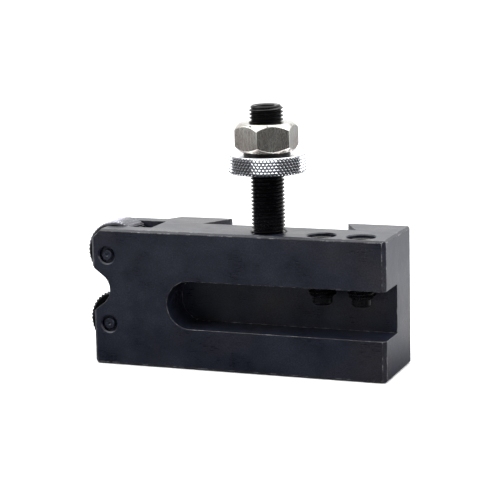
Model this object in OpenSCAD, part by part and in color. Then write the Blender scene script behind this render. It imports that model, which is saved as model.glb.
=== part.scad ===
// Knurling, facing and turning holder that hangs on the dovetail of a quick-change tool post.
// Origin: centre of the dovetail, on the rear flange face, at the base. +Z up, +Y towards the post.

/* [Body] */
// Length of the body, left end to right end
body_len = 88; // [84:0.5:110]
// Thickness of the body, front face to rear flange face
body_t = 25.4; // [23:0.1:32]
// Height of the body
body_h = 39.7; // [38:0.1:50]
// Width of the small bevel that breaks every outer edge
edge_break = 0.6; // [0.2:0.1:1]

/* [Dovetail] */
// Distance from the left end to the dovetail's centre
dove_from_left = 52; // [46:0.1:54]
// Width of the dovetail's mouth between the flange noses
dove_mouth = 35.9; // [30:0.1:38]
// Depth of the dovetail from the rear flange face
dove_depth = 10.4; // [8:0.1:11]
// Slope of the dovetail's sides, measured from its floor
dove_angle = 60; // [55:1:70]
// Flat width of each flange nose
dove_nose = 1.5; // [0.5:0.1:2.5]

/* [Tool slot] */
// Height of the slot that takes the tool's shank
slot_h = 13.8; // [10:0.1:16.6]
// Height of the slot's floor above the base
slot_z = 11.8; // [9:0.1:12]
// Thickness of the wall between the slot and the dovetail
web_t = 3.8; // [2:0.1:5]
// Thickness of the wall between the slot's round end and the knurls' gap
fork_wall = 6.4; // [4:0.1:12]

/* [Knurl fork] */
// Room between the wheels and the end wall of the gap that they turn in
wheel_room = 3.15; // [1:0.05:5]
// Thickness of the front ear
ear_front_t = 5.3; // [4:0.1:6]
// Thickness of the rear ear
ear_rear_t = 4.3; // [3:0.1:5]
// Width of the bevel on the ears' top corner
ear_bevel = 3.4; // [1:0.1:5]
// Distance from the left end to where the thick part of the body begins
step_from_left = 15.4; // [13:0.1:17]
// Length of the slope from the rear ear up to the rear flange
step_run = 3.2; // [2:0.1:5]
// Height of the work notch's centre above the middle of the body
notch_lift = 2.2; // [0:0.05:4]
// Depth of the work notch
notch_depth = 5.6; // [4:0.1:6]
// Height of the work notch where it opens at the left end
notch_open = 13.4; // [11:0.1:15]
// Slope of the notch's sides, measured from level
notch_angle = 37; // [30:1:45]

/* [Knurls and pins] */
// Outer diameter of each knurl wheel
knurl_d = 17.5; // [15:0.1:21]
// Width of each knurl wheel
knurl_w = 10; // [8:0.1:12]
// Width of the bevel on each wheel's rims
knurl_bevel = 0.9; // [0.3:0.1:1.5]
// Distance from the left end to the pins' axes
pin_from_left = 5; // [4:0.1:7]
// Gap between the rims of the two wheels
wheel_gap = 2.6; // [1:0.1:4]
// Diameter of each pin
pin_d = 4.76; // [3:0.01:6]

/* [Height stud and nuts] */
// Outside diameter of the stud's thread
stud_d = 9.525; // [8:0.005:11.5]
// Pitch of the stud's thread
stud_pitch = 1.058; // [0.8:0.001:1.5]
// Height of the stud above the body's top face
stud_rise = 35.6; // [34:0.1:45]
// Thickness of the wall left between the stud's hole and the tool slot
stud_floor = 2.1; // [1:0.1:5]
// Thickness of the wall between the stud's hole and the front face
stud_wall = 2.4; // [1.5:0.1:5]
// Width across the flats of the socket in the stud's top
stud_socket_af = 4.76; // [3:0.01:5.5]
// Depth of the socket in the stud's top
stud_socket_depth = 5; // [2:0.1:7]
// Diameter of the thumb nut
thumb_d = 22; // [18:0.1:24]
// Thickness of the thumb nut's knurled rim
thumb_h = 5; // [4:0.1:7]
// Height of the thumb nut's underside above the body's top face
thumb_gap = 16.9; // [5:0.1:17.5]
// Width across the flats of the lock nut
lock_af = 15.875; // [13:0.005:17]
// Height of the lock nut
lock_h = 8; // [6:0.1:9]
// Turn of the lock nut's corners about the stud
lock_turn = 33.5; // [0:0.5:60]

/* [Clamp screws] */
// Outside diameter of each clamp screw's thread
screw_d = 7.94; // [6:0.01:9.6]
// Pitch of the clamp screws' thread
screw_pitch = 1.058; // [0.8:0.001:1.3]
// How far each clamp screw reaches into the tool slot
screw_reach = 5.2; // [2.5:0.1:9]
// Depth of each screw's top below the body's top face
screw_recess = 0.8; // [0.1:0.05:1]
// Thickness of the wall between the screws' holes and the front face
screw_wall = 1; // [0.8:0.1:2.5]
// Distance from the right end to the outer screw
screw_from_right = 8.3; // [7:0.1:10]
// Distance between the two clamp screws
screw_spacing = 11.4; // [11:0.1:13]
// Width across the flats of the screws' sockets
socket_af = 3.97; // [2:0.01:4]
// Depth of the screws' sockets
socket_depth = 4.5; // [2:0.1:6]

/* [Fits] */
// Gap all round between a thread or pin and the hole that it stays fixed in
fixed_clear = 0.02; // [0.01:0.01:0.05]
// Gap all round between each pin and the wheel that turns on it
running_clear = 0.05; // [0.02:0.01:0.1]
// Gap all round between a thread and the nut or hole that runs on it
thread_clear = 0.09; // [0.03:0.01:0.1]
// Gap on each side between a knurl wheel and the ears
side_clear = 0.3; // [0.2:0.05:0.5]

/* [Hidden] */
$fn = 96;

past = 1;                                  // how far a cut runs past the face it opens on
left_x = -dove_from_left;
right_x = left_x + body_len;
front_y = -body_t;
corner_break = 1;                          // bevel on the upright corners
half_mouth = dove_mouth / 2;
half_floor = half_mouth + (dove_depth - dove_nose) / tan(dove_angle);

fork_len = pin_from_left + knurl_d / 2 + wheel_room;
fork_gap = knurl_w + 2 * side_clear;
fork_y = front_y + ear_front_t;            // front wall of the gap
ear_back_y = fork_y + fork_gap + ear_rear_t;
notch_z = body_h / 2 + notch_lift;
notch_bite = 0.03;                         // how far the notch's arc runs past its straight sides
pin_x = left_x + pin_from_left;
pin_offset = (knurl_d + wheel_gap) / 2;    // pins above and below the notch's centre
pin_low_z = notch_z - pin_offset;
pin_high_z = notch_z + pin_offset;

slot_r = slot_h / 2;
slot_depth = body_t - dove_depth - web_t;
slot_x = left_x + fork_len + fork_wall + slot_r;   // centre of the slot's round end
roof_z = slot_z + slot_h;                  // underside of the wall above the slot

stud_hole_r = stud_d / 2 + fixed_clear;
stud_base_z = roof_z + stud_floor;
stud_y = front_y + stud_wall + stud_hole_r;
screw_hole_r = screw_d / 2 + thread_clear;
screw_y = front_y + screw_wall + screw_hole_r;
screw_outer_x = right_x - screw_from_right;
screw_inner_x = screw_outer_x - screw_spacing;
pin_recess = 0.2;                          // pin ends below the ears' faces
pin_bevel = 0.4;
thumb_z = body_h + thumb_gap;
thumb_bevel = 0.8;
boss_h = 0.8;                             // low boss that the lock nut seats on
boss_d = 13;
lock_z = thumb_z + thumb_h + boss_h;
thread_share = 0.61;                       // thread depth as a share of its pitch
screw_top_z = body_h - screw_recess;
screw_len = screw_top_z - roof_z + screw_reach;
screw_tip_d = 5.6;
screw_tip_h = 2;
tip_bevel = 0.5;

// Closed outline of a ringed rod: half of its section, from z = 0 to len, bevelled at both ends
function ringed(r, pitch, len, cut) = let (n = floor((len - 2 * cut) / pitch)) concat(
    [[0, 0], [r - cut, 0]],
    [for (i = [0:n - 1]) each [[r, cut + i * pitch], [r - cut, cut + (i + 0.5) * pitch]]],
    [[r, cut + n * pitch], [r, len - cut], [r - cut, len], [0, len]]);

module ringed_rod(d, pitch, len) {
    rotate_extrude() polygon(ringed(d / 2, pitch, len, thread_share * pitch));
}

// Rectangle from (x0, y0) to (x1, y1) with its four corners cut at 45 degrees
module cut_rect(x0, y0, x1, y1, c) {
    polygon([[x0 + c, y0], [x1 - c, y0], [x1, y0 + c], [x1, y1 - c],
             [x1 - c, y1], [x0 + c, y1], [x0, y1 - c], [x0, y0 + c]]);
}

// The body seen from above, dovetail and thin left end included
module plan_outline() {
    c = corner_break;
    step_x = left_x + step_from_left;
    polygon([[left_x + c, front_y], [right_x - c, front_y], [right_x, front_y + c],
             [right_x, -c], [right_x - c, 0],
             [half_mouth, 0], [half_mouth, -dove_nose], [half_floor, -dove_depth],
             [-half_floor, -dove_depth], [-half_mouth, -dove_nose], [-half_mouth, 0],
             [step_x + step_run, 0], [step_x, ear_back_y],
             [left_x + c, ear_back_y], [left_x, ear_back_y - c], [left_x, front_y + c]]);
}

// The work notch: a V with a round bottom. The sides touch a circle of radius r, and the one drawn
// is larger by notch_bite, so that it crosses them instead of only touching.
module notch_outline() {
    half = notch_open / 2;
    r = (notch_depth * sin(notch_angle) - half * cos(notch_angle)) / (sin(notch_angle) - 1);
    mid = notch_depth - r;
    end_x = mid + r * sin(notch_angle);
    end_y = r * cos(notch_angle);
    mouth = half + past * tan(notch_angle);
    translate([left_x, notch_z]) {
        translate([mid - notch_bite, 0]) circle(r + notch_bite);
        polygon([[-past, mouth], [end_x, end_y], [end_x, -end_y], [-past, -mouth]]);
    }
}

// The body seen from the front
module front_outline() {
    c = edge_break;
    difference() {
        polygon([[left_x + corner_break, 0], [right_x - c, 0], [right_x, c], [right_x, body_h - c],
                 [right_x - c, body_h], [left_x + ear_bevel, body_h], [left_x, body_h - ear_bevel],
                 [left_x, corner_break]]);
        notch_outline();
    }
}

module tool_slot() {
    run = right_x + past - slot_x;
    translate([slot_x, front_y + slot_depth, slot_z + slot_r])
        rotate([90, 0, 0]) {
            cylinder(r = slot_r, h = slot_depth + past);
            translate([0, -slot_r, 0]) cube([run, slot_h, slot_depth + past]);
        }
}

// Round hole from z0 up to the face at z1, where its mouth is countersunk
module mouth_hole(r, z0, z1, sink) {
    translate([0, 0, z0]) cylinder(r = r, h = z1 - z0 + past);
    translate([0, 0, z1 - sink]) cylinder(r1 = r, r2 = r + sink + past, h = sink + past);
}

// Round hole through both ears, countersunk at the front
module pin_hole(z) {
    r = pin_d / 2;
    translate([pin_x, front_y, z]) rotate([-90, 0, 0]) translate([0, 0, -past]) {
        cylinder(r = r + fixed_clear, h = body_t + past);
        cylinder(r1 = r + pin_bevel + past, r2 = r, h = pin_bevel + past);
    }
}

module holder_body() {
    color("dimgray") difference() {
        intersection() {
            linear_extrude(body_h) plan_outline();
            rotate([90, 0, 0]) linear_extrude(body_t) front_outline();
            translate([left_x, 0, 0]) rotate([90, 0, 90])
                linear_extrude(body_len) cut_rect(front_y, 0, 0, body_h, edge_break);
        }
        translate([left_x - past, fork_y, -past]) cube([fork_len + past, fork_gap, body_h + 2 * past]);
        tool_slot();
        translate([0, stud_y, 0]) mouth_hole(stud_hole_r, stud_base_z, body_h, edge_break);
        for (x = [screw_inner_x, screw_outer_x])
            translate([x, screw_y, 0]) mouth_hole(screw_hole_r, roof_z - screw_reach, body_h, edge_break / 2);
        for (z = [pin_low_z, pin_high_z]) pin_hole(z);
    }
}

module height_stud() {
    stud_len = body_h + stud_rise - stud_base_z;
    color("black") translate([0, stud_y, stud_base_z]) difference() {
        ringed_rod(stud_d, stud_pitch, stud_len);
        translate([0, 0, stud_len - stud_socket_depth])
            cylinder(r = stud_socket_af / sqrt(3), h = stud_socket_depth + past, $fn = 6);
    }
}

module thumb_nut() {
    bore_r = stud_d / 2 + thread_clear;
    rim_r = thumb_d / 2;
    b = thumb_bevel;
    color("silver") translate([0, stud_y, thumb_z]) rotate_extrude()
        polygon([[bore_r, 0], [rim_r - b, 0], [rim_r, b], [rim_r, thumb_h - b], [rim_r - b, thumb_h],
                 [boss_d / 2, thumb_h], [boss_d / 2, thumb_h + boss_h], [bore_r, thumb_h + boss_h]]);
}

module lock_nut() {
    bore_r = stud_d / 2 + thread_clear;
    corner_r = lock_af / sqrt(3);
    face_r = 0.94 * lock_af / 2;           // round face inside the flats
    drop = corner_r - face_r;              // height of the 45 degree bevel at the corners
    color("gainsboro") translate([0, stud_y, lock_z]) rotate([0, 0, lock_turn]) intersection() {
        difference() {
            cylinder(r = corner_r, h = lock_h, $fn = 6);
            translate([0, 0, -past]) cylinder(r = bore_r, h = lock_h + 2 * past);
        }
        rotate_extrude() polygon([[0, 0], [face_r, 0], [corner_r, drop],
                                  [corner_r, lock_h - drop], [face_r, lock_h], [0, lock_h]]);
    }
}

// Socket set screw with its top at z = 0 and a plain turned tip below
module clamp_screw() {
    threaded_l = screw_len - screw_tip_h;
    tip_r = screw_tip_d / 2;
    color("dimgray") difference() {
        union() {
            translate([0, 0, -threaded_l]) ringed_rod(screw_d, screw_pitch, threaded_l);
            translate([0, 0, -screw_len]) cylinder(r1 = tip_r - tip_bevel, r2 = tip_r, h = tip_bevel);
            translate([0, 0, tip_bevel - screw_len]) cylinder(r = tip_r, h = screw_tip_h);
        }
        translate([0, 0, -socket_depth]) cylinder(r = socket_af / sqrt(3), h = socket_depth + past, $fn = 6);
    }
}

module clamp_screw_inner() {
    translate([screw_inner_x, screw_y, screw_top_z]) clamp_screw();
}

module clamp_screw_outer() {
    translate([screw_outer_x, screw_y, screw_top_z]) clamp_screw();
}

module knurl_wheel(z) {
    r = knurl_d / 2;
    b = knurl_bevel;
    bore_r = pin_d / 2 + running_clear;
    color("slategray") translate([pin_x, fork_y + side_clear, z]) rotate([-90, 0, 0]) rotate_extrude()
        polygon([[bore_r, 0], [r - b, 0], [r, b], [r, knurl_w - b], [r - b, knurl_w], [bore_r, knurl_w]]);
}

module knurl_pin(z) {
    pin_len = ear_back_y - front_y - 2 * pin_recess;
    r = pin_d / 2;
    b = pin_bevel;
    color("black") translate([pin_x, front_y + pin_recess, z]) rotate([-90, 0, 0]) rotate_extrude()
        polygon([[0, 0], [r - b, 0], [r, b], [r, pin_len - b], [r - b, pin_len], [0, pin_len]]);
}

module knurl_wheel_upper() { knurl_wheel(pin_high_z); }
module knurl_wheel_lower() { knurl_wheel(pin_low_z); }
module knurl_pin_upper() { knurl_pin(pin_high_z); }
module knurl_pin_lower() { knurl_pin(pin_low_z); }

holder_body();
height_stud();
thumb_nut();
lock_nut();
clamp_screw_inner();
clamp_screw_outer();
knurl_wheel_upper();
knurl_wheel_lower();
knurl_pin_upper();
knurl_pin_lower();
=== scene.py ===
from math import ceil, cos, pi, radians, sin, sqrt, tan

import bmesh
import bpy
from mathutils import Matrix, Vector


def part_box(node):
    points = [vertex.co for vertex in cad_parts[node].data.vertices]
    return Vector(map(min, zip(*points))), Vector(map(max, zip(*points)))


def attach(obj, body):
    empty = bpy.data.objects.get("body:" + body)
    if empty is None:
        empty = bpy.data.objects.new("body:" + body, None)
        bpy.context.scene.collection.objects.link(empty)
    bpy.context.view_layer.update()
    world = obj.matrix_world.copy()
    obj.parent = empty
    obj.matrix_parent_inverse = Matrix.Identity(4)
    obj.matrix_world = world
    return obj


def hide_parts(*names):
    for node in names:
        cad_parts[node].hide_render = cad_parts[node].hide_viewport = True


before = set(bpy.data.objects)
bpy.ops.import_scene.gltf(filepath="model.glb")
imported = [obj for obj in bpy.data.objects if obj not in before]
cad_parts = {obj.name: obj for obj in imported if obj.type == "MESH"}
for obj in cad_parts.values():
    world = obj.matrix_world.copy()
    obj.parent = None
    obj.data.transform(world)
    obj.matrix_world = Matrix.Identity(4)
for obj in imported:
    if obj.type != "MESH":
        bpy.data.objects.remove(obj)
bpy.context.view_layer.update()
print("frame loaded:", ", ".join(sorted(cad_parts)))

mm = 0.001
scene = bpy.context.scene
halfFlat = 1 / 16  # half the flat on a thread's or a tooth's crest, as a share of its pitch
# Distances at which points are joined and slivers dropped, and angles in degrees
meshLimits = {"weld": 1e-7, "sliver": 1e-8, "gridWeld": 2e-7, "cadWeld": 2e-6, "cadFlat": 0.4, "cadSharp": 30}


class NodeBench:
    # Adds nodes to one tree, and sets or links their inputs
    def __init__(self, tree):
        self.tree = tree

    def feed(self, socket, value):
        if isinstance(value, bpy.types.NodeSocket):
            self.tree.links.new(value, socket)
        else:
            socket.default_value = value

    def add(self, kind, inputs=None, **settings):
        node = self.tree.nodes.new(kind)
        for key, value in settings.items():
            setattr(node, key, value)
        for key, value in (inputs or {}).items():
            self.feed(node.inputs[key], value)
        return node

    def math(self, operation, *values):
        node = self.add("ShaderNodeMath", operation=operation)
        for socket, value in zip(node.inputs, values):
            self.feed(socket, value)
        return node.outputs[0]

    def remap(self, value, lowIn, highIn, lowOut, highOut):
        return self.add("ShaderNodeMapRange", {
            "Value": value, "From Min": lowIn, "From Max": highIn, "To Min": lowOut, "To Max": highOut,
        }).outputs["Result"]

    def mixValue(self, share, first, second):
        # The mix node's inputs 2 and 3 are its pair of numbers
        node = self.add("ShaderNodeMix", {"Factor": share, 2: first, 3: second}, data_type="FLOAT")
        return node.outputs[0]

    def mixColour(self, share, first, second, blend="MIX"):
        # Its inputs 6 and 7 are its pair of colours
        node = self.add("ShaderNodeMix", data_type="RGBA", blend_type=blend)
        self.feed(node.inputs["Factor"], share)
        self.feed(node.inputs[6], first)
        self.feed(node.inputs[7], second)
        return node.outputs[2]


def roundOf(node):
    # Corners, middle and radius of a node; the radius is for those that are round
    low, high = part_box(node)
    return low, high, (low + high) / 2, (high.x - low.x) / 2


def newObject(name, data):
    made = bpy.data.objects.new(name, data)
    scene.collection.objects.link(made)
    return made


def addRings(bm, rings, columns):
    # Stacks rings of points about Z. A ring's radius is a number, or a rule of the turn; 0 closes to a point
    previous = None
    for radius, height in rings:
        if radius == 0:
            ring = [bm.verts.new((0, 0, height))] * columns
        else:
            rule = radius if callable(radius) else (lambda turn, r=radius: r)
            turns = [2 * pi * i / columns for i in range(columns)]
            ring = [bm.verts.new((rule(t) * cos(t), rule(t) * sin(t), height)) for t in turns]
        if previous:
            for i in range(columns):
                k = (i + 1) % columns
                corners = dict.fromkeys([previous[i], previous[k], ring[k], ring[i]])
                if len(corners) > 2:
                    bm.faces.new(list(corners))
        previous = ring


def finishMesh(bm, mesh, sharp, material):
    # Closes the seams, points the faces outwards, marks the sharp edges and gives the material
    bmesh.ops.remove_doubles(bm, verts=bm.verts, dist=meshLimits["weld"])
    bmesh.ops.dissolve_degenerate(bm, edges=bm.edges, dist=meshLimits["sliver"])
    bmesh.ops.recalc_face_normals(bm, faces=bm.faces)
    loose = sum(not e.is_manifold for e in bm.edges)
    bm.to_mesh(mesh)
    bm.free()
    mesh.shade_smooth()
    mesh.set_sharp_from_angle(angle=radians(sharp))
    mesh.materials.clear()
    mesh.materials.append(material)
    print(f"  {mesh.name}: {len(mesh.polygons)} faces, {loose} open edges")


def cadCopy(node, name, material):
    # A copy of a CAD node with its triangles merged back into whole faces
    bm = bmesh.new()
    bm.from_mesh(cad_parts[node].data)
    bmesh.ops.remove_doubles(bm, verts=bm.verts, dist=meshLimits["cadWeld"])
    flat = radians(meshLimits["cadFlat"])
    bmesh.ops.dissolve_limit(bm, angle_limit=flat, verts=bm.verts, edges=bm.edges)
    mesh = bpy.data.meshes.new(name)
    finishMesh(bm, mesh, meshLimits["cadSharp"], material)
    return newObject(name, mesh)


def onHole(edge, holes):
    # True where both ends of the edge lie round one of the holes, each given as a point, two ways and a radius
    for centre, ways, radius in holes:
        reach = [
            sum((getattr(vert.co, way) - getattr(centre, way)) ** 2 for way in ways) for vert in edge.verts
        ]
        if max(reach) < radius ** 2:
            return True
    return False


def bevelEdges(piece, sizes, material=-1, holes=()):
    # Breaks the sharp edges, apart from those of the holes
    bm = bmesh.new()
    bm.from_mesh(piece.data)
    sharp = radians(sizes["sharpFrom"])
    weights = [float(e.calc_face_angle(0) > sharp and not onHole(e, holes)) for e in bm.edges]
    bm.free()
    weight = piece.data.attributes.new("bevel_weight_edge", "FLOAT", "EDGE")
    weight.data.foreach_set("value", weights)
    bevel = piece.modifiers.new("Broken edges", "BEVEL")
    bevel.width = sizes["edge"]
    bevel.segments = sizes["segments"]
    bevel.limit_method = "WEIGHT"
    bevel.use_clamp_overlap = False
    bevel.material = material
    bevel.miter_outer = "MITER_ARC"
    level = piece.modifiers.new("Flat faces stay flat", "WEIGHTED_NORMAL")
    level.weight = 100
    level.keep_sharp = True


def rolledGrid(name, columns, rows, sizes, rule, material, triangles=False):
    # Rolls a grid into a ring. The rule gives each point's radius, turn and height from its column and row
    tree = bpy.data.node_groups.new(name, "GeometryNodeTree")
    bench = NodeBench(tree)
    values = {"Columns": columns, "Rows": rows, **sizes, "Finish": material}
    kinds = {"Columns": "NodeSocketInt", "Rows": "NodeSocketInt", "Finish": "NodeSocketMaterial"}
    identifiers = {
        label: tree.interface.new_socket(
            label, in_out="INPUT", socket_type=kinds.get(label, "NodeSocketFloat")
        ).identifier
        for label in values
    }
    tree.interface.new_socket("Geometry", in_out="OUTPUT", socket_type="NodeSocketGeometry")
    given = bench.add("NodeGroupInput").outputs
    grid = bench.add("GeometryNodeMeshGrid", {
        "Size X": 1.0, "Size Y": 1.0,
        "Vertices X": bench.math("ADD", given["Columns"], 1), "Vertices Y": given["Rows"],
    })
    index = bench.add("GeometryNodeInputIndex").outputs[0]
    column = bench.math("FLOOR", bench.math("DIVIDE", bench.math("ADD", index, 0.5), given["Rows"]))
    row = bench.math("SUBTRACT", index, bench.math("MULTIPLY", column, given["Rows"]))
    radius, turn, height = rule(bench, column, row, given)
    angle = bench.math("MULTIPLY", turn, 2 * pi)
    place = bench.add("ShaderNodeCombineXYZ", {
        "X": bench.math("MULTIPLY", radius, bench.math("COSINE", angle)),
        "Y": bench.math("MULTIPLY", radius, bench.math("SINE", angle)),
        "Z": height,
    })
    moved = bench.add("GeometryNodeSetPosition", {
        "Geometry": grid.outputs["Mesh"], "Position": place.outputs[0],
    })
    shape = bench.add("GeometryNodeMergeByDistance", {
        "Geometry": moved.outputs[0], "Distance": meshLimits["gridWeld"],
    }).outputs[0]
    if triangles:
        shape = bench.add(
            "GeometryNodeTriangulate", {"Mesh": shape}, quad_method="SHORTEST_DIAGONAL"
        ).outputs[0]
    real = bench.add("GeometryNodeRealizeInstances", {"Geometry": shape})
    painted = bench.add("GeometryNodeSetMaterial", {
        "Geometry": real.outputs[0], "Material": given["Finish"],
    })
    bench.add("NodeGroupOutput", {"Geometry": painted.outputs[0]})

    carrier = newObject(name, bpy.data.meshes.new(name))
    modifier = carrier.modifiers.new(name, "NODES")
    modifier.node_group = tree
    for label, value in values.items():
        modifier[identifiers[label]] = value
    depsgraph = bpy.context.evaluated_depsgraph_get()
    mesh = bpy.data.meshes.new_from_object(carrier.evaluated_get(depsgraph))
    carrier.modifiers.remove(modifier)
    bpy.data.objects.remove(carrier)
    return mesh


def closedPiece(name, meshes, ringSets, columns, material, sharp, place):
    # Joins meshes with the plain turned rings that close them, and puts the result in its place
    bm = bmesh.new()
    for part in meshes:
        bm.from_mesh(part)
    for rings in ringSets:
        addRings(bm, rings, columns)
    mesh = bpy.data.meshes.new(name)
    finishMesh(bm, mesh, sharp, material)
    mesh.transform(place)
    return newObject(name, mesh)


def upright(middle, height):
    # Place of a piece turned about Z, with its own zero at that height
    return Matrix.Translation((middle.x, middle.y, height))


def lyingAlongY(middle, start):
    # Place of a piece turned about Y, with its own zero at that distance along Y
    return Matrix.Translation((middle.x, start, middle.z)) @ Matrix.Rotation(-pi / 2, 4, "X")


def newFinish(name):
    material = bpy.data.materials.new(name)
    material.use_nodes = True
    bench = NodeBench(material.node_tree)
    shader = material.node_tree.nodes["Principled BSDF"]
    return material, bench, shader


def objectNoise(bench, stretch, scale, detail=3.0, rough=0.55, centre=(0, 0, 0)):
    # Noise in the object's own millimetres, stretched along one way for tool marks
    where = bench.add("ShaderNodeTexCoord").outputs["Object"]
    mapped = bench.add("ShaderNodeMapping", {
        "Vector": where, "Location": [c / mm for c in centre], "Scale": [s / mm for s in stretch],
    })
    return bench.add("ShaderNodeTexNoise", {
        "Vector": mapped.outputs[0], "Scale": scale, "Detail": detail, "Roughness": rough,
    }).outputs["Fac"]


def facingX(bench):
    # 1 where the surface faces along X, either way
    normal = bench.add("ShaderNodeTexCoord").outputs["Normal"]
    parts = bench.add("ShaderNodeSeparateXYZ", {"Vector": normal})
    return bench.remap(bench.math("ABSOLUTE", parts.outputs["X"]), 0.6, 0.8, 0.0, 1.0)


def bumpInto(bench, shader, height, distance):
    bump = bench.add("ShaderNodeBump", {"Height": height, "Distance": distance, "Strength": 1.0})
    bench.feed(shader.inputs["Normal"], bump.outputs[0])


def swing(bench, value, amount):
    # A noise value, which lies about 0.5, as a shift either way from nothing
    return bench.math("MULTIPLY", bench.math("SUBTRACT", value, 0.5), amount)


oxide = {
    "dark": (0.0036, 0.0048, 0.0115, 1), "light": (0.0080, 0.0100, 0.0200, 1),
    "warm": (0.0140, 0.0120, 0.0150, 1), "roughness": 0.33, "ior": 1.5, "lineDepth": 0.010 * mm,
}
oiledThread = {
    "dark": (0.0012, 0.0012, 0.0018, 1), "light": (0.0030, 0.0030, 0.0040, 1),
    "warm": (0.0035, 0.0030, 0.0030, 1), "roughness": 0.22, "ior": 1.28, "lineDepth": 0.003 * mm,
}


def blackOxide(name, look, lines=True):
    material, bench, shader = newFinish(name)
    blotch = objectNoise(bench, (1, 1, 1), 0.10, 4.0)
    warmth = objectNoise(bench, (1, 1, 1), 0.045, 2.0, centre=(7, 3, 5))
    grain = objectNoise(bench, (1, 1, 1), 2.4, 3.0, 0.75)
    colour = bench.mixColour(bench.remap(blotch, 0.35, 0.65, 0.0, 1.0), look["dark"], look["light"])
    colour = bench.mixColour(bench.remap(warmth, 0.52, 0.70, 0.0, 0.6), colour, look["warm"])
    speckle = bench.remap(grain, 0.38, 0.66, 0.35, 2.1)
    bench.feed(shader.inputs["Base Color"], bench.mixColour(1.0, colour, speckle, "MULTIPLY"))
    marks = grain
    if lines:
        # Milling marks run along the sides, and upright on the two ends
        along = objectNoise(bench, (0.05, 1, 1), 5.0, 4.0, 0.6)
        upwards = objectNoise(bench, (1, 1, 0.06), 4.0, 4.0, 0.6)
        marks = bench.mixValue(facingX(bench), along, upwards)
    rough = bench.math("ADD", look["roughness"], swing(bench, marks, 0.30))
    rough = bench.math("ADD", rough, swing(bench, blotch, 0.25))
    bench.feed(shader.inputs["Roughness"], rough)
    height = bench.math("ADD", bench.math("MULTIPLY", marks, 0.6), grain)
    bumpInto(bench, shader, height, look["lineDepth"])
    shader.inputs["IOR"].default_value = look["ior"]
    return material


rubbed = {"black": (0.014, 0.014, 0.016, 1), "bare": (0.34, 0.34, 0.35, 1), "mostBare": 0.7}


def rubbedEdge(name):
    # Edges where handling has rubbed the black through to the steel in places
    material, bench, shader = newFinish(name)
    patches = objectNoise(bench, (1, 1, 1), 0.55, 4.0, 0.65)
    bare = bench.remap(patches, 0.50, 0.70, 0.0, rubbed["mostBare"])
    bench.feed(shader.inputs["Base Color"], bench.mixColour(bare, rubbed["black"], rubbed["bare"]))
    bench.feed(shader.inputs["Metallic"], bare)
    bench.feed(shader.inputs["Roughness"], bench.remap(patches, 0.3, 0.7, 0.45, 0.28))
    bumpInto(bench, shader, objectNoise(bench, (1, 1, 1), 4.0), 0.004 * mm)
    return material


def fromAxis(bench, centre, across):
    # Distance from an axis through that point; across names the two ways square to it
    where = bench.add("ShaderNodeTexCoord").outputs["Object"]
    parts = bench.add("ShaderNodeSeparateXYZ", {"Vector": where})
    squares = [
        bench.math("POWER", bench.math("SUBTRACT", parts.outputs[way], getattr(centre, way.lower())), 2)
        for way in across
    ]
    return bench.math("SQRT", bench.math("ADD", *squares))


def grooveShadeMask(bench, centre, across, root, depth, reach):
    # Mask for painted shade: 1 at the bottom of the grooves and inside them, falling to 0 at that share of
    # their depth
    return bench.remap(fromAxis(bench, centre, across), root, root + depth * reach, 1.0, 0.0)


# The groove colour and its reach are painted shade in the knurl's grooves
plate = {"dull": (0.84, 0.86, 0.92, 1), "clear": (0.94, 0.95, 0.98, 1), "paintedGrooveShade": (0.06, 0.06, 0.07, 1),
         "shadeReach": 0.32, "facesWithin": 0.08 * mm, "rimFrom": 0.02 * mm}


def brightPlate(name, centre, root, depth):
    # Bright plating on the knurled nut, with painted shade in the grooves near the tooth roots
    material, bench, shader = newFinish(name)
    cloud = objectNoise(bench, (1, 1, 1), 0.35, 3.0)
    fine = objectNoise(bench, (1, 1, 1), 7.0, 2.0)
    clean = bench.mixColour(cloud, plate["dull"], plate["clear"])
    # Painted shade: the grooves go dark, only close to the tooth roots
    paintedGrooveShade = grooveShadeMask(bench, centre, "XY", root, depth, plate["shadeReach"])
    faces, rim = root - plate["facesWithin"], root - plate["rimFrom"]
    onRim = bench.remap(fromAxis(bench, centre, "XY"), faces, rim, 0.0, 1.0)
    paintedGrooveShade = bench.math("MULTIPLY", paintedGrooveShade, onRim)
    bench.feed(shader.inputs["Base Color"], bench.mixColour(paintedGrooveShade, clean, plate["paintedGrooveShade"]))
    shader.inputs["Metallic"].default_value = 1.0
    bench.feed(shader.inputs["Roughness"], bench.remap(cloud, 0.3, 0.7, 0.12, 0.22))
    bumpInto(bench, shader, fine, 0.001 * mm)
    return material


# Tones of the painted shade in the gap between the nuts
gapShadeTone = {"thick": (0.004, 0.004, 0.004, 1), "thin": (0.012, 0.011, 0.010, 1), "ior": 1.22}


def paintedGapShade(name):
    # Painted shade: the boss ring between the two nuts is made near black, for the shade in the gap under the
    # lock nut
    material, bench, shader = newFinish(name)
    shadeMottle = objectNoise(bench, (1, 1, 1), 0.8, 3.0)
    bench.feed(shader.inputs["Base Color"], bench.mixColour(shadeMottle, gapShadeTone["thick"], gapShadeTone["thin"]))
    bench.feed(shader.inputs["Roughness"], bench.remap(shadeMottle, 0.3, 0.7, 0.30, 0.45))
    shader.inputs["IOR"].default_value = gapShadeTone["ior"]
    return material


nickel = {"brown": (0.46, 0.42, 0.385, 1), "grey": (0.56, 0.555, 0.515, 1)}


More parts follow.
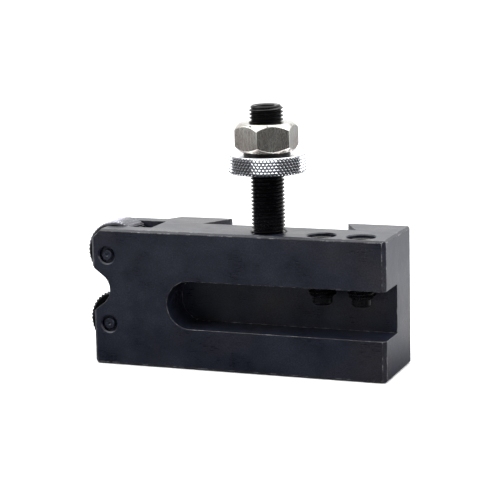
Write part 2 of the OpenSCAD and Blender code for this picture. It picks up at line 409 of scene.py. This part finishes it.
def nickelSteel(name):
    # Warm grey plate on the hex nut, drawn lengthwise on its flats
    material, bench, shader = newFinish(name)
    stain = objectNoise(bench, (1, 1, 1), 0.16, 4.0)
    drawn = objectNoise(bench, (1, 1, 0.08), 3.0, 4.0, 0.6)
    greyShare = bench.remap(stain, 0.40, 0.60, 0.0, 1.0)
    bench.feed(shader.inputs["Base Color"], bench.mixColour(greyShare, nickel["brown"], nickel["grey"]))
    shader.inputs["Metallic"].default_value = 1.0
    bench.feed(shader.inputs["Roughness"], bench.remap(drawn, 0.3, 0.7, 0.20, 0.30))
    bumpInto(bench, shader, drawn, 0.004 * mm)
    return material


# The groove colour and its reach are painted shade, in the grooves and on the wheel sides
tool = {"dull": (0.16, 0.16, 0.18, 1), "bright": (0.42, 0.42, 0.46, 1), "paintedGrooveShade": (0.022, 0.022, 0.026, 1),
        "shadeReach": 0.8}


def hardSteel(name, centre, root, depth):
    # Dark tool steel with bright tooth crests; painted shade makes the grooves and the sides below the tooth
    # roots near black
    material, bench, shader = newFinish(name)
    stain = objectNoise(bench, (1, 1, 1), 0.25, 4.0)
    grain = objectNoise(bench, (1, 1, 1), 5.0, 2.0)
    crest = bench.mixColour(stain, tool["dull"], tool["bright"])
    # Painted shade: near black in the grooves and on everything below the tooth roots
    paintedGrooveShade = grooveShadeMask(bench, centre, "XZ", root, depth, tool["shadeReach"])
    bench.feed(shader.inputs["Base Color"], bench.mixColour(paintedGrooveShade, crest, tool["paintedGrooveShade"]))
    shader.inputs["Metallic"].default_value = 1.0
    bench.feed(shader.inputs["Roughness"], bench.remap(grain, 0.3, 0.7, 0.18, 0.28))
    bumpInto(bench, shader, grain, 0.003 * mm)
    return material


bodyBlack = blackOxide("blackOxideBody", oxide)
threadBlack = blackOxide("blackOxideThread", oiledThread, lines=False)
edgeRubbed = rubbedEdge("rubbedEdge")
gapShadeBlack = paintedGapShade("paintedGapShade")
platedGrey = nickelSteel("nickelSteel")
print("finishes made")


bodySizes = {"edge": 0.12 * mm, "segments": 2, "sharpFrom": 26, "holeRim": 0.75 * mm}
bodyHoles = {"height_stud": "xy", "clamp_screw_inner": "xy", "clamp_screw_outer": "xy",
             "knurl_pin_upper": "xz", "knurl_pin_lower": "xz"}


def makeBody():
    body = cadCopy("holder_body", "holderBodyMilled", bodyBlack)
    body.data.materials.append(edgeRubbed)
    holes = []
    for node, ways in bodyHoles.items():
        low, high, middle, radius = roundOf(node)
        holes.append((middle, ways, radius + bodySizes["holeRim"]))
    bevelEdges(body, bodySizes, 1, holes)
    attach(body, "holder")
    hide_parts("holder_body")


makeBody()
print("body made")


threadShape = {"pitch": 1.058 * mm, "depthShare": 0.61, "columns": 72, "rowsPerTurn": 8, "sharpFrom": 34}


def threadRule(bench, column, row, given):
    turnsUp = bench.math("DIVIDE", row, threadShape["rowsPerTurn"])
    turn = bench.math("DIVIDE", column, given["Columns"])
    climb = bench.math("MULTIPLY", bench.math("SUBTRACT", bench.math("ADD", turnsUp, turn), 1), given["Pitch"])
    height = bench.math("MAXIMUM", bench.math("MINIMUM", climb, given["Length"]), 0)
    fromCrest = bench.math("PINGPONG", bench.math("SUBTRACT", turnsUp, halfFlat), 0.5)
    flank = bench.remap(fromCrest, halfFlat, 0.5 - halfFlat, given["Crest Radius"], given["Root Radius"])
    startCone = bench.math("ADD", given["Start Radius"], height)
    endCone = bench.math("ADD", given["End Radius"], bench.math("SUBTRACT", given["Length"], height))
    radius = bench.math("MINIMUM", flank, bench.math("MINIMUM", startCone, endCone))
    return radius, turn, height


def threadedRod(name, radius, length, startRadius, endRadius):
    pitch = threadShape["pitch"]
    rows = (ceil(length / pitch) + 2) * threadShape["rowsPerTurn"] + 1
    return rolledGrid(name, threadShape["columns"], rows, {
        "Pitch": pitch, "Length": length, "Crest Radius": radius,
        "Root Radius": radius - threadShape["depthShare"] * pitch,
        "Start Radius": startRadius, "End Radius": endRadius,
    }, threadRule, threadBlack)


def hexRule(across):
    # Radius of a hexagon of that width across its flats, at a turn
    return lambda turn: across / 2 / cos(turn % (pi / 3) - pi / 6)


def socketRings(top, sizes):
    # A hexagon socket with a bevelled mouth and the cone that its drill leaves
    across, bevel, bottom = sizes["socketAcross"], sizes["socketBevel"], top - sizes["socketDepth"]
    walls = hexRule(across)
    return [(across / sqrt(3) + bevel, top - sizes["mouthDrop"]), (walls, top - bevel), (walls, bottom),
            (across * sizes["drillShare"], bottom), (0, bottom - sizes["drillPoint"])]


def threadedPiece(name, rod, bottom, endRadius, length, sizes, place):
    # Closes a threaded rod with its lower end's rings and the socket in its top
    top = [(endRadius, length)] + socketRings(length, sizes)
    return closedPiece(name, [rod], [top, bottom], threadShape["columns"], threadBlack,
                       threadShape["sharpFrom"], place)


stud = {"chamfer": 0.9 * mm, "socketAcross": 4.76 * mm, "socketDepth": 5 * mm, "socketBevel": 0.35 * mm,
        "mouthDrop": 0.10 * mm, "drillShare": 0.42, "drillPoint": 0.8 * mm}


def makeStud():
    low, high, middle, radius = roundOf("height_stud")
    length = high.z - low.z
    endRadius = radius - stud["chamfer"]
    rod = threadedRod("studThread", radius, length, endRadius, endRadius)
    bottom = [(endRadius, 0), (0, 0)]
    piece = threadedPiece("heightStudThreaded", rod, bottom, endRadius, length, stud, upright(middle, low.z))
    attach(piece, "holder")
    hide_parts("height_stud")


makeStud()
print("height stud made")

clampScrew = {"tipRadius": 2.8 * mm, "tipHeight": 2 * mm, "tipBevel": 0.5 * mm, "chamfer": 0.65 * mm,
              "socketAcross": 3.97 * mm, "socketDepth": 4.5 * mm, "socketBevel": 0.25 * mm,
              "mouthDrop": 0.06 * mm, "drillShare": 0.42, "drillPoint": 0.6 * mm}


def makeClampScrew(node, name):
    low, high, middle, radius = roundOf(node)
    tip, tipRadius, tipBevel = clampScrew["tipHeight"], clampScrew["tipRadius"], clampScrew["tipBevel"]
    length = high.z - low.z - tip
    endRadius = radius - clampScrew["chamfer"]
    rod = threadedRod(name + "Thread", radius, length, tipRadius, endRadius)
    bottom = [(tipRadius, 0), (tipRadius, tipBevel - tip), (tipRadius - tipBevel, -tip), (0, -tip)]
    place = upright(middle, low.z + tip)
    piece = threadedPiece(name, rod, bottom, endRadius, length, clampScrew, place)
    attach(piece, node)
    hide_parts(node)


makeClampScrew("clamp_screw_inner", "clampScrewInner")
makeClampScrew("clamp_screw_outer", "clampScrewOuter")
print("clamp screws made")


thumbKnurl = {"diamonds": 64, "axialPitch": 1.6 * mm, "depth": 0.40 * mm, "flat": 0.0625, "steps": 8,
              "bevel": 0.55 * mm, "bossRadius": 6.5 * mm, "bossHeight": 0.8 * mm, "bossEdge": 0.12 * mm,
              "boreGap": 0.09 * mm, "boreBevel": 0.5 * mm, "shadeAbove": 0.02 * mm, "sharpFrom": 24}


def knurlRule(bench, column, row, given):
    # Diamonds where two sets of slanted grooves cross, cut off by the bevels at both rims
    steps = thumbKnurl["steps"]
    around = bench.math("DIVIDE", column, steps)
    middleRow = bench.math("DIVIDE", bench.math("SUBTRACT", given["Rows"], 1), 2)
    along = bench.math("DIVIDE", bench.math("SUBTRACT", row, middleRow), steps)
    half = bench.math("DIVIDE", given["Band"], 2)
    offset = bench.math("MULTIPLY", along, given["Axial Pitch"])
    clipped = bench.math("MAXIMUM", bench.math("MINIMUM", offset, half), bench.math("MULTIPLY", half, -1))
    leftHand = bench.math("PINGPONG", bench.math("ADD", around, along), 0.5)
    rightHand = bench.math("PINGPONG", bench.math("SUBTRACT", around, along), 0.5)
    toGroove = bench.math("MAXIMUM", leftHand, rightHand)
    root = bench.math("SUBTRACT", given["Radius"], given["Depth"])
    tooth = bench.remap(toGroove, given["Flat"], 0.5, given["Radius"], root)
    cone = bench.math("ADD", root, bench.math("SUBTRACT", half, bench.math("ABSOLUTE", clipped)))
    turn = bench.math("DIVIDE", column, given["Columns"])
    return bench.math("MINIMUM", tooth, cone), turn, clipped


def makeThumbNut():
    low, high, middle, radius = roundOf("thumb_nut")
    depth, bevel, steps = thumbKnurl["depth"], thumbKnurl["bevel"], thumbKnurl["steps"]
    lift, boss, edge = thumbKnurl["bossHeight"], thumbKnurl["bossRadius"], thumbKnurl["bossEdge"]
    platedBright = brightPlate("brightPlate", middle, radius - depth, depth)
    rimTop = high.z - lift
    height = rimTop - low.z
    half, band = height / 2, height - 2 * (bevel - depth)
    columns = thumbKnurl["diamonds"] * steps
    rows = 2 * ceil(band / 2 / (thumbKnurl["axialPitch"] / steps)) + 1
    knurl = rolledGrid("thumbKnurlBand", columns, rows, {
        "Radius": radius, "Depth": depth, "Flat": thumbKnurl["flat"], "Band": band,
        "Axial Pitch": thumbKnurl["axialPitch"],
    }, knurlRule, platedBright, triangles=True)
    bore, mouth = roundOf("height_stud")[3] + thumbKnurl["boreGap"], thumbKnurl["boreBevel"]
    rings = [
        (radius - depth, band / 2), (radius - bevel, half), (boss + edge, half), (boss, half + edge),
        (boss, half + lift - edge), (boss - edge, half + lift), (bore + mouth, half + lift),
        (bore, half + lift - mouth), (bore, mouth - half), (bore + mouth, -half),
        (radius - bevel, -half), (radius - depth, -band / 2),
    ]
    piece = closedPiece("thumbNutKnurled", [knurl], [rings], columns, platedBright,
                        thumbKnurl["sharpFrom"], upright(middle, low.z + half))
    # Painted shade: the boss ring above the knurled rim takes the near-black gap finish
    piece.data.materials.append(gapShadeBlack)
    for face in piece.data.polygons:
        if face.center.z > rimTop + thumbKnurl["shadeAbove"]:
            face.material_index = 1
    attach(piece, "thumb_nut")
    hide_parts("thumb_nut")


makeThumbNut()
print("thumb nut made")

lockNut = {"edge": 0.14 * mm, "segments": 2, "sharpFrom": 18}


def makeLockNut():
    nut = cadCopy("lock_nut", "lockNutPlated", platedGrey)
    bevelEdges(nut, lockNut)
    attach(nut, "lock_nut")
    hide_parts("lock_nut")


makeLockNut()
print("lock nut made")


wheel = {"teeth": 46, "slant": 30, "depth": 0.5 * mm, "bevel": 0.9 * mm, "steps": 8, "bevelRows": 3,
         "middleRows": 6, "hubRadius": 4.6 * mm, "recessDepth": 0.25 * mm, "recessWidth": 2 * mm,
         "recessSlope": 0.2 * mm, "boreGap": 0.05 * mm, "boreBevel": 0.3 * mm, "sharpFrom": 24}


def wheelRule(bench, column, row, given):
    # Slanted teeth whose ends run out on the rims' bevels
    lowRows, midRows = wheel["bevelRows"], wheel["middleRows"]
    lowest = bench.math("MINIMUM", row, lowRows)
    between = bench.math("MINIMUM", bench.math("MAXIMUM", bench.math("SUBTRACT", row, lowRows), 0), midRows)
    topmost = bench.math("MAXIMUM", bench.math("SUBTRACT", row, lowRows + midRows), 0)
    bevelStep = bench.math("DIVIDE", given["Depth"], lowRows)
    plain = bench.math("SUBTRACT", given["Band"], bench.math("MULTIPLY", given["Depth"], 2))
    height = bench.math("ADD", bench.math("MULTIPLY", bench.math("ADD", lowest, topmost), bevelStep),
                        bench.math("MULTIPLY", between, bench.math("DIVIDE", plain, midRows)))
    teethRound = bench.math("DIVIDE", column, wheel["steps"])
    fromCrest = bench.math("PINGPONG", bench.math("SUBTRACT", teethRound, halfFlat), 0.5)
    root = bench.math("SUBTRACT", given["Radius"], given["Depth"])
    tooth = bench.remap(fromCrest, halfFlat, 0.5 - halfFlat, given["Radius"], root)
    toEnd = bench.math("MINIMUM", height, bench.math("SUBTRACT", given["Band"], height))
    radius = bench.math("MINIMUM", tooth, bench.math("ADD", root, toEnd))
    turn = bench.math("ADD", bench.math("DIVIDE", column, given["Columns"]),
                      bench.math("MULTIPLY", height, given["Twist"]))
    return radius, turn, height


def turnedRings(rings, columns, turn):
    # Rings as a mesh of their own, turned about Z
    bm = bmesh.new()
    addRings(bm, rings, columns)
    bmesh.ops.rotate(bm, verts=bm.verts, matrix=Matrix.Rotation(turn, 3, "Z"))
    mesh = bpy.data.meshes.new("turnedRings")
    bm.to_mesh(mesh)
    bm.free()
    return mesh


def makeWheel(node, name, hand):
    low, high, middle, radius = roundOf(node)
    width = high.y - low.y
    depth, bevel = wheel["depth"], wheel["bevel"]
    toolSteel = hardSteel(name + "Steel", middle, radius - depth, depth)
    skip = bevel - depth
    band = width - 2 * skip
    rows = 2 * wheel["bevelRows"] + wheel["middleRows"] + 1
    columns = wheel["teeth"] * wheel["steps"]
    # The twist is a whole number of columns, so that the rings meet the teeth on both sides
    slantColumns = round(tan(radians(wheel["slant"])) * band / (2 * pi * radius) * columns)
    twist = hand * slantColumns / columns / band
    teeth = rolledGrid(name + "Teeth", columns, rows, {
        "Radius": radius, "Depth": depth, "Band": band, "Twist": twist,
    }, wheelRule, toolSteel)
    bore = roundOf(node.replace("wheel", "pin"))[3] + wheel["boreGap"]
    hub, recess = wheel["hubRadius"], wheel["recessDepth"] - skip
    recessRim, slope, mouth = hub + wheel["recessWidth"], wheel["recessSlope"], wheel["boreBevel"]
    near = [(radius - depth, 0), (radius - bevel, -skip), (recessRim, -skip), (recessRim - slope, recess),
            (hub, recess), (hub - slope, -skip), (bore + mouth, -skip), (bore, mouth - skip),
            (bore, width / 2 - skip)]
    # The far side starts at the turn where the teeth end
    far = [(ringRadius, band - height) for ringRadius, height in near]
    far = turnedRings(far, columns, band * twist * 2 * pi)
    piece = closedPiece(name, [teeth, far], [near], columns, toolSteel,
                        wheel["sharpFrom"], lyingAlongY(middle, low.y + skip))
    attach(piece, node)
    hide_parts(node)


makeWheel("knurl_wheel_upper", "knurlWheelUpper", 1)
makeWheel("knurl_wheel_lower", "knurlWheelLower", -1)
print("knurl wheels made")

pin = {"faceRadius": 1.5 * mm, "grooveDepth": 1.0 * mm, "grooveSlope": 0.25 * mm, "edge": 0.1 * mm,
       "centreRadius": 0.5 * mm, "centreDepth": 0.5 * mm, "columns": 64, "sharpFrom": 30}


def makePin(node, name):
    low, high, middle, radius = roundOf(node)
    length = high.y - low.y
    face, edge, groove = pin["faceRadius"], pin["edge"], pin["grooveDepth"]
    end = [(0, pin["centreDepth"]), (pin["centreRadius"], 0), (face - edge, 0), (face, edge),
           (face + pin["grooveSlope"], groove), (radius - edge, groove), (radius, groove + edge)]
    rings = end + [(ringRadius, length - height) for ringRadius, height in reversed(end)]
    piece = closedPiece(name, [], [rings], pin["columns"], bodyBlack, pin["sharpFrom"],
                        lyingAlongY(middle, low.y))
    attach(piece, "holder")
    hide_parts(node)


makePin("knurl_pin_upper", "knurlPinUpper")
makePin("knurl_pin_lower", "knurlPinLower")
print("pins made")


floor = {"side": 4.0, "dull": (0.88, 0.88, 0.88, 1), "pale": (0.90, 0.90, 0.90, 1), "roughness": 0.9,
         "glowFrom": 0.5, "glowTo": 2.5, "glow": 0.6}
floorCard = {"side": 1.6, "lift": 0.3 * mm, "tint": (0.96, 0.97, 1.0, 1), "dark": 0.03, "front": 0.29,
             "frontFrom": -0.06, "frontTo": -0.24, "fadeTo": 0.16, "faded": 0.2, "end": 0.58, "back": 1.22,
             "endFrom": 0.038, "endTo": 0.056, "farBack": 0.48, "farFrom": 0.19, "farTo": 0.30,
             "turnOver": 0.03}
world = {"front": 0.17, "back": 1.3, "frontFrom": -0.4, "backFrom": 0.5}
lights = {
    "overhead": {"place": (0.1, 0.15, 1.5), "target": (0, 0.1, 0), "power": 36.0, "size": (2.2, 2.2)},
    "leftBox": {"place": (-0.68, -0.40, 0.50), "target": (0, 0, 0.05), "power": 8.5, "size": (0.70, 1.0)},
    "rightBox": {"place": (0.85, -0.15, 0.55), "target": (0, 0, 0.05), "power": 7.0, "size": (0.65, 1.0)},
}
view = {"azimuth": 21.08, "elevation": 10.74, "roll": -1.38, "lens": 126.74, "sensor": 36, "clip": 0.01,
        "target": (-7.58 * mm, -13.4 * mm, 33.17 * mm), "distance": 0.5007}


def stagePlane(name, side, height, material):
    corners = [(-side, -side, height), (side, -side, height), (side, side, height), (-side, side, height)]
    mesh = bpy.data.meshes.new(name)
    mesh.from_pydata(corners, [], [(0, 1, 2, 3)])
    mesh.materials.append(material)
    return newObject(name, mesh)


def makeFloor():
    material, bench, shader = newFinish("paleFloor")
    soft = objectNoise(bench, (1, 1, 1), 0.004, 2.0)
    bench.feed(shader.inputs["Base Color"], bench.mixColour(soft, floor["dull"], floor["pale"]))
    shader.inputs["Roughness"].default_value = floor["roughness"]
    shader.inputs["Specular IOR Level"].default_value = 0.0
    # Far from the piece the floor glows a little, so that it ends as pale as it starts
    shader.inputs["Emission Color"].default_value = (1, 1, 1, 1)
    away = fromAxis(bench, Vector(), "XY")
    glow = bench.remap(away, floor["glowFrom"], floor["glowTo"], 0.0, floor["glow"])
    bench.feed(shader.inputs["Emission Strength"], glow)
    stagePlane("floor", floor["side"], 0, material)


def makeFloorCard():
    # What the metal sees of the floor: dark close in front and under the right end, paler far off
    material = bpy.data.materials.new("floorCard")
    material.use_nodes = True
    tree = material.node_tree
    tree.nodes.clear()
    bench = NodeBench(tree)
    parts = bench.add("ShaderNodeSeparateXYZ", {"Vector": bench.add("ShaderNodeTexCoord").outputs["Object"]})
    x, y = parts.outputs["X"], parts.outputs["Y"]
    away = bench.remap(y, floorCard["frontFrom"], floorCard["frontTo"], 0.0, 1.0)
    leftward = bench.remap(x, 0.0, floorCard["fadeTo"], 1.0, floorCard["faded"])
    lit = bench.math("MULTIPLY", away, leftward)
    front = bench.remap(lit, 0.0, 1.0, floorCard["dark"], floorCard["front"])
    back = bench.remap(x, floorCard["endFrom"], floorCard["endTo"], floorCard["end"], floorCard["back"])
    far = bench.remap(y, floorCard["farFrom"], floorCard["farTo"], 1.0, floorCard["farBack"])
    behind = bench.remap(y, -floorCard["turnOver"], floorCard["turnOver"], 0.0, 1.0)
    glow = bench.mixValue(behind, front, bench.math("MULTIPLY", back, far))
    emission = bench.add("ShaderNodeEmission", {"Color": floorCard["tint"], "Strength": glow})
    bench.add("ShaderNodeOutputMaterial", {"Surface": emission.outputs[0]})
    card = stagePlane("floorCard", floorCard["side"], floorCard["lift"], material)
    card.visible_camera = card.visible_diffuse = card.visible_shadow = False
    card.visible_transmission = card.visible_volume_scatter = False


def makeWorld():
    softStudio = bpy.data.worlds.new("softStudio")
    scene.world = softStudio
    softStudio.use_nodes = True
    bench = NodeBench(softStudio.node_tree)
    where = bench.add("ShaderNodeTexCoord").outputs["Generated"]
    parts = bench.add("ShaderNodeSeparateXYZ", {"Vector": where})
    strength = bench.remap(parts.outputs["Y"], world["frontFrom"], world["backFrom"],
                           world["front"], world["back"])
    background = softStudio.node_tree.nodes["Background"]
    background.inputs["Color"].default_value = (1, 1, 1, 1)
    bench.feed(background.inputs["Strength"], strength)


def makeLight(name, given):
    light = bpy.data.lights.new(name, "AREA")
    light.energy = given["power"]
    light.shape = "RECTANGLE"
    light.size, light.size_y = given["size"]
    lamp = newObject(name, light)
    lamp.location = given["place"]
    aim = Vector(given["target"]) - Vector(given["place"])
    lamp.rotation_euler = aim.to_track_quat("-Z", "Y").to_euler()


def makeCamera():
    azimuth, elevation, roll = (radians(view[key]) for key in ("azimuth", "elevation", "roll"))
    back = Vector((sin(azimuth) * cos(elevation), -cos(azimuth) * cos(elevation), sin(elevation)))
    right = Vector((cos(azimuth), sin(azimuth), 0))
    up = back.cross(right)
    rolledRight = right * cos(roll) + up * sin(roll)
    rolledUp = up * cos(roll) - right * sin(roll)
    lens = bpy.data.cameras.new("camera")
    lens.lens = view["lens"]
    lens.sensor_width = view["sensor"]
    lens.clip_start = view["clip"]
    camera = newObject("camera", lens)
    camera.rotation_euler = Matrix((rolledRight, rolledUp, back)).transposed().to_euler()
    camera.location = Vector(view["target"]) + back * view["distance"]
    scene.camera = camera


makeFloor()
makeFloorCard()
makeWorld()
for lightName, lightValues in lights.items():
    makeLight(lightName, lightValues)
makeCamera()
scene.view_settings.view_transform = "Standard"
print("stage, lights and camera made")
